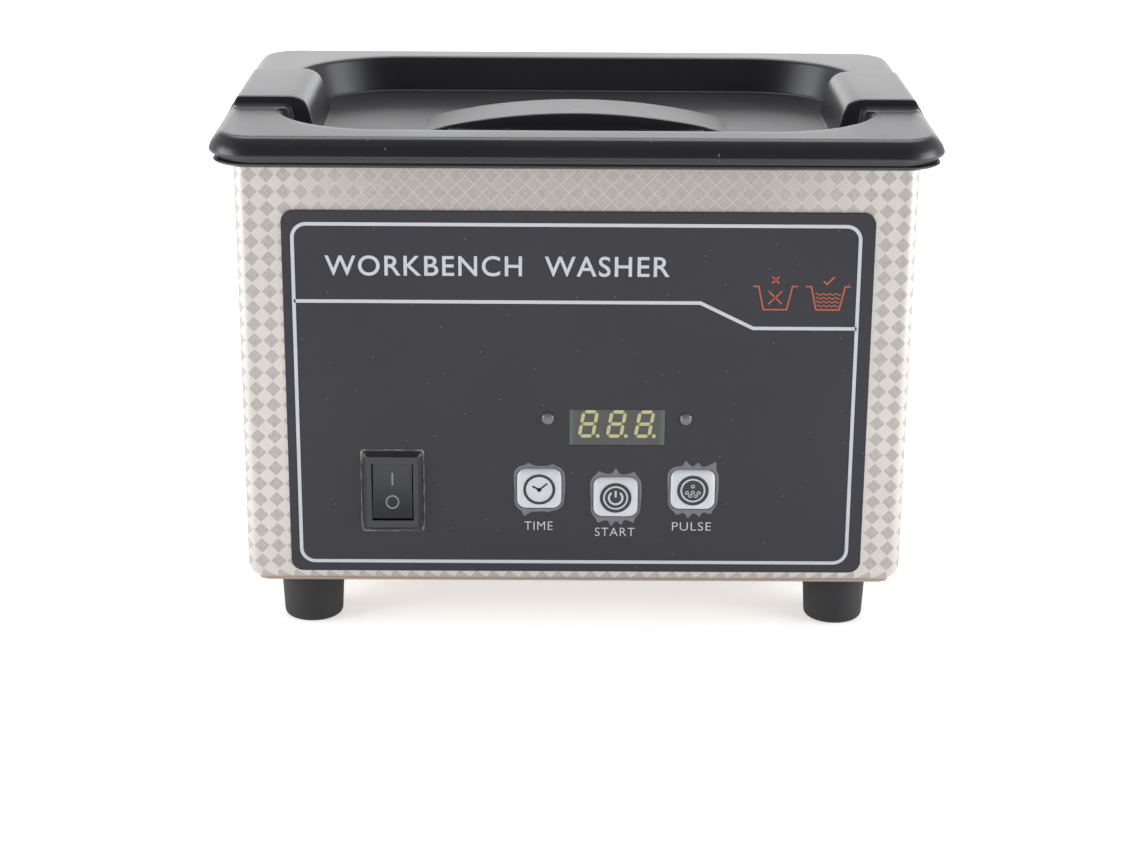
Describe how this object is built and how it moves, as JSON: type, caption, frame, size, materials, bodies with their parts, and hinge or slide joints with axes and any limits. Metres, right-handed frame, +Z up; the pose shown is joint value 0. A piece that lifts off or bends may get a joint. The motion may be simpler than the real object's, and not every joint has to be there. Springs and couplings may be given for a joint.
{
  "type": "ultrasonic cleaner",
  "caption": "Bench-top ultrasonic cleaner with a patterned steel housing, lift-off tray lid, hooked basket in a drawn tank, front control panel and rubber feet.",
  "frame": {"origin": "under the middle of the machine, on the surface its four feet stand on", "axes": "+Z up, control panel faces -Y, +X to the right seen from the front"},
  "size_m": [0.181, 0.1234, 0.1333],
  "materials": {
    "housing_steel": "bright stainless sheet rolled with a diamond pattern",
    "bottom_steel": "zinc-plated sheet, dull",
    "tank_steel": "deep-drawn stainless, satin",
    "lid_black": "moulded, fine satin texture",
    "frame_black": "moulded, satin",
    "switch_black": "moulded, semi-gloss",
    "panel_film": "printed dark grey face film",
    "key_grey": "light grey moulding",
    "display_lens": "smoked clear window",
    "display_body": "grey display face",
    "lamp_lens": "diffused lamp",
    "basket_white": "white moulding, satin",
    "foot_rubber": "moulded rubber",
    "seal_rubber": "moulded rubber",
    "screw_steel": "zinc-plated steel",
    "horn_aluminium": "turned",
    "mass_steel": "turned steel",
    "ceramic": "fired piezo ceramic",
    "electrode_copper": "copper sheet",
    "contact_brass": "plated brass",
    "board": "green solder mask",
    "core_ferrite": "ferrite and bobbin",
    "capacitor_blue": "sleeved can",
    "winding_copper": "enamelled wire",
    "sink_black": "black anodised",
    "fuse_glass": "ceramic tube",
    "lead_brown": "insulated lead",
    "lead_blue": "insulated lead",
    "lead_green": "insulated lead",
    "lead_red": "insulated lead",
    "ribbon_grey": "flat cable"
  },
  "bodies": {
    "housing": {"housing_shell": "housing_steel", "bottom_plate": "bottom_steel", "top_frame": "frame_black", "tank_gasket": "seal_rubber", "tank": "tank_steel", "panel_overlay": "panel_film", "display_window": "display_lens", "control_board": "board", "display_module": "display_body", "led_left": "lamp_lens", "led_right": "lamp_lens", "rocker_frame": "switch_black", "rocker_terminal_line": "contact_brass", "rocker_terminal_load": "contact_brass", "transducer_horn": "horn_aluminium", "piezo_ring_upper": "ceramic", "transducer_electrode": "electrode_copper", "piezo_ring_lower": "ceramic", "transducer_back_mass": "mass_steel", "transducer_bolt": "screw_steel", "drive_board": "board", "output_transformer": "core_ferrite", "filter_capacitor": "capacitor_blue", "heatsink": "sink_black", "power_transistor": "switch_black", "tank_choke": "winding_copper", "fuse": "fuse_glass", "power_inlet": "switch_black", "inlet_pin_live": "contact_brass", "inlet_pin_earth": "contact_brass", "inlet_pin_neutral": "contact_brass", "inlet_screw_left": "screw_steel", "inlet_screw_right": "screw_steel", "live_lead": "lead_brown", "neutral_lead": "lead_blue", "earth_lead": "lead_green", "transducer_lead": "lead_red", "ribbon_cable": "ribbon_grey", "earth_screw": "screw_steel", "foot_front_left": "foot_rubber", "foot_screw_front_left": "screw_steel", "foot_front_right": "foot_rubber", "foot_screw_front_right": "screw_steel", "foot_rear_left": "foot_rubber", "foot_screw_rear_left": "screw_steel", "foot_rear_right": "foot_rubber", "foot_screw_rear_right": "screw_steel", "board_post_a": "contact_brass", "board_post_b": "contact_brass", "board_post_c": "contact_brass", "board_post_d": "contact_brass", "switch_min": "switch_black", "switch_power": "switch_black", "switch_degas": "switch_black"},
    "basket": {"basket": "basket_white"},
    "lid": {"lid": "lid_black"},
    "rocker": {"rocker_key": "switch_black"},
    "key_min": {"button_min": "key_grey"},
    "key_power": {"button_power": "key_grey"},
    "key_degas": {"button_degas": "key_grey"}
  },
  "joints": [
    {"name": "basket_lift", "type": "slide", "parent": "housing", "child": "basket", "axis": [0, 0, 1], "range_m": [0, 0.09]},
    {"name": "lid_lift", "type": "slide", "parent": "basket", "child": "lid", "axis": [0, 0, 1], "range_m": [0, 0.12]},
    {"name": "rocker_tilt", "type": "hinge", "parent": "housing", "child": "rocker", "pos_m": [-0.04645, -0.0541, 0.03877], "axis": [1, 0, 0], "range_deg": [0, 18]},
    {"name": "press_min", "type": "slide", "parent": "housing", "child": "key_min", "axis": [0, 1, 0], "range_m": [0, 0.0005], "stiffness_N_per_m": 1000, "springref_m": -0.0005},
    {"name": "press_power", "type": "slide", "parent": "housing", "child": "key_power", "axis": [0, 1, 0], "range_m": [0, 0.0005], "stiffness_N_per_m": 1000, "springref_m": -0.0005},
    {"name": "press_degas", "type": "slide", "parent": "housing", "child": "key_degas", "axis": [0, 1, 0], "range_m": [0, 0.0005], "stiffness_N_per_m": 1000, "springref_m": -0.0005}
  ]
}
